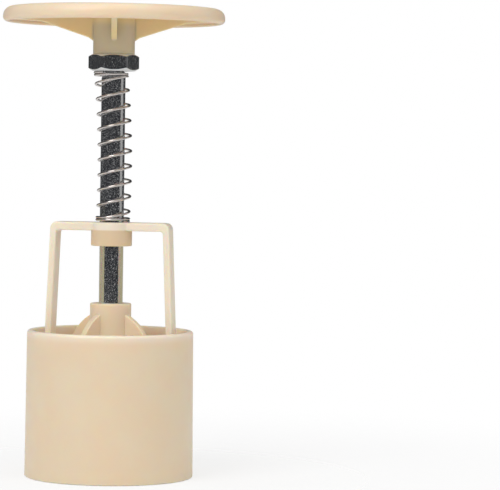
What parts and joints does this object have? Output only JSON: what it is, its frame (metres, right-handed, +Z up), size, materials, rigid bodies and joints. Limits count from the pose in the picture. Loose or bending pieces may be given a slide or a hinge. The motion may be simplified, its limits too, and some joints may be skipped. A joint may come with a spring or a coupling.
{
  "type": "mooncake press",
  "caption": "Hand press for moulded cakes: a spring-returned palm plunger drives a petal stamp down a fluted plastic barrel.",
  "frame": {"origin": "centre of the barrel's mouth rim, the face that the press stands on", "axes": "+Z up along the rod to the palm disc; X along the arch, from post to post"},
  "size_m": [0.074, 0.074, 0.1567],
  "materials": {
    "barrel_plastic": "smooth cream plastic, softly glossy",
    "frame_plastic": "smooth cream plastic, softly glossy",
    "handle_plastic": "smooth cream plastic, softly glossy",
    "plate_plastic": "smooth cream plastic, softly glossy",
    "stamp_plastic": "smooth cream plastic, glossy",
    "rod_chrome": "bright plated",
    "spring_wire": "bright drawn wire",
    "zinc_steel": "zinc plated"
  },
  "bodies": {
    "press_body": {"barrel": "barrel_plastic", "arch_frame": "frame_plastic", "spring": "spring_wire"},
    "plunger": {"rod": "rod_chrome", "lock_nut": "zinc_steel", "handle": "handle_plastic", "press_plate": "plate_plastic", "plate_washer": "zinc_steel", "plate_nut": "zinc_steel"},
    "flower_stamp": {"stamp": "stamp_plastic"}
  },
  "joints": [
    {"name": "press", "type": "slide", "parent": "press_body", "child": "plunger", "axis": [0, 0, -1], "range_m": [0, 0.038], "stiffness_N_per_m": 330, "springref_m": -0.0145, "deforming": ["spring"]},
    {"name": "stamp_pull", "type": "slide", "parent": "plunger", "child": "flower_stamp", "axis": [0, 0, -1], "range_m": [0, 0.048]}
  ]
}
